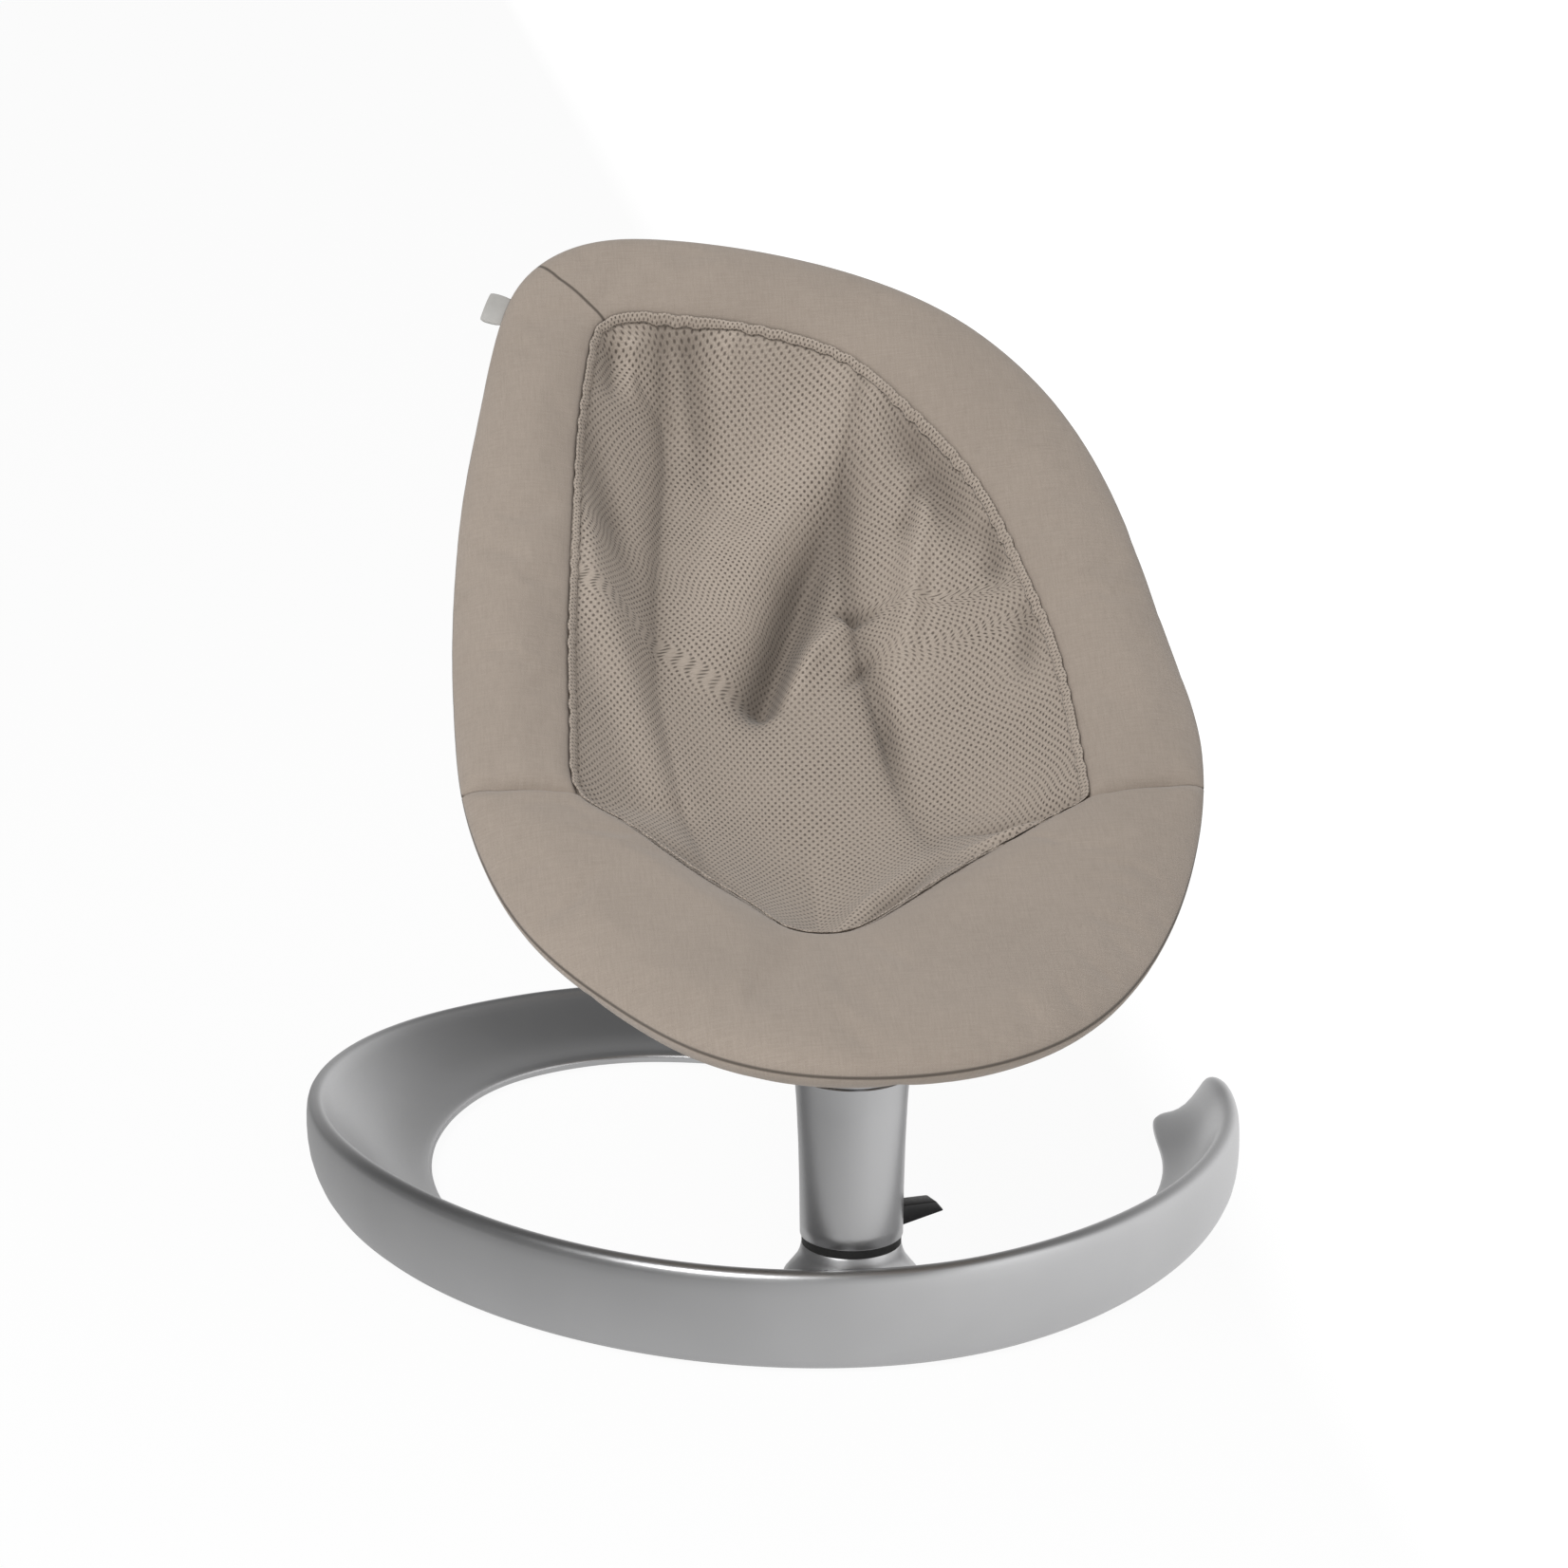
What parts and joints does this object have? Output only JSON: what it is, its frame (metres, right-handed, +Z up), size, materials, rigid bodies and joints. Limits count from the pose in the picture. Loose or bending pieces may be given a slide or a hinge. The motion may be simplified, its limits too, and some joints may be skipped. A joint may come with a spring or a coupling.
{
  "type": "bouncer seat",
  "caption": "Leaf-shaped baby seat with a padded cloth rim and hanging mesh, swaying on a short post that rises from an open ring base.",
  "frame": {"origin": "on the floor, on the vertical sway axis, at the middle of the front foot's lower face", "axes": "+Z up along the sway axis, -Y towards the foot end of the seat, +X to the right as seen from the foot end"},
  "size_m": [0.5734, 0.6898, 0.5554],
  "materials": {
    "satin_aluminium": "satin blasted casting",
    "tube_aluminium": "satin tube",
    "black_rubber": "matt",
    "black_plastic": "fine matt grain",
    "taupe_cloth": "flecked plain weave over foam",
    "taupe_mesh": "open air mesh",
    "grey_label": "folded ribbon",
    "washer_plastic": "natural nylon",
    "bright_steel": "turned"
  },
  "bodies": {
    "base": {"base_ring": "satin_aluminium", "front_foot": "black_rubber", "ring_feet": "black_rubber", "pivot_seal": "black_rubber", "sway_stop_pin": "bright_steel", "spindle": "bright_steel", "lower_inner_race": "bright_steel", "lower_balls": "bright_steel", "upper_inner_race": "bright_steel", "upper_balls": "bright_steel", "bearing_spacer": "bright_steel", "return_bush": "black_rubber", "spindle_washer": "bright_steel", "spindle_nut": "bright_steel"},
    "swivel": {"swivel_column": "satin_aluminium", "lower_outer_race": "bright_steel", "upper_outer_race": "bright_steel", "lever_pin": "bright_steel", "recline_bolt": "bright_steel", "recline_nut": "bright_steel", "recline_washers": "washer_plastic"},
    "lever": {"lock_lever": "black_plastic"},
    "shoe": {"brake_shoe": "black_plastic", "brake_lining": "black_rubber"},
    "seat": {"seat_carrier": "satin_aluminium", "socket_screws": "bright_steel", "front_strut": "tube_aluminium", "left_strut": "tube_aluminium", "right_strut": "tube_aluminium", "upper_hoop": "tube_aluminium", "lower_hoop": "tube_aluminium", "rim_pad": "taupe_cloth", "foot_panel": "taupe_cloth", "mesh_sling": "taupe_mesh", "side_tag": "grey_label"}
  },
  "joints": [
    {"name": "sway", "type": "hinge", "parent": "base", "child": "swivel", "pos_m": [0, 0, 0.1], "axis": [0, 0, 1], "range_deg": [-20, 20], "stiffness_Nm_per_rad": 4},
    {"name": "recline", "type": "hinge", "parent": "swivel", "child": "seat", "pos_m": [0, 0.03, 0.174], "axis": [1, 0, 0], "range_deg": [-7, 7]},
    {"name": "lock_lever", "type": "hinge", "parent": "swivel", "child": "lever", "pos_m": [0.02349, 0.00855, 0.075], "axis": [-0.342, 0.9397, 0], "range_deg": [0, 25]},
    {"name": "brake_slide", "type": "slide", "parent": "swivel", "child": "shoe", "axis": [-0.9397, -0.342, 0], "range_m": [0, 0.00095]}
  ],
  "couplings": [
    {"joint": "brake_slide", "follows": "lock_lever", "m_per_rad": 0.00217}
  ]
}
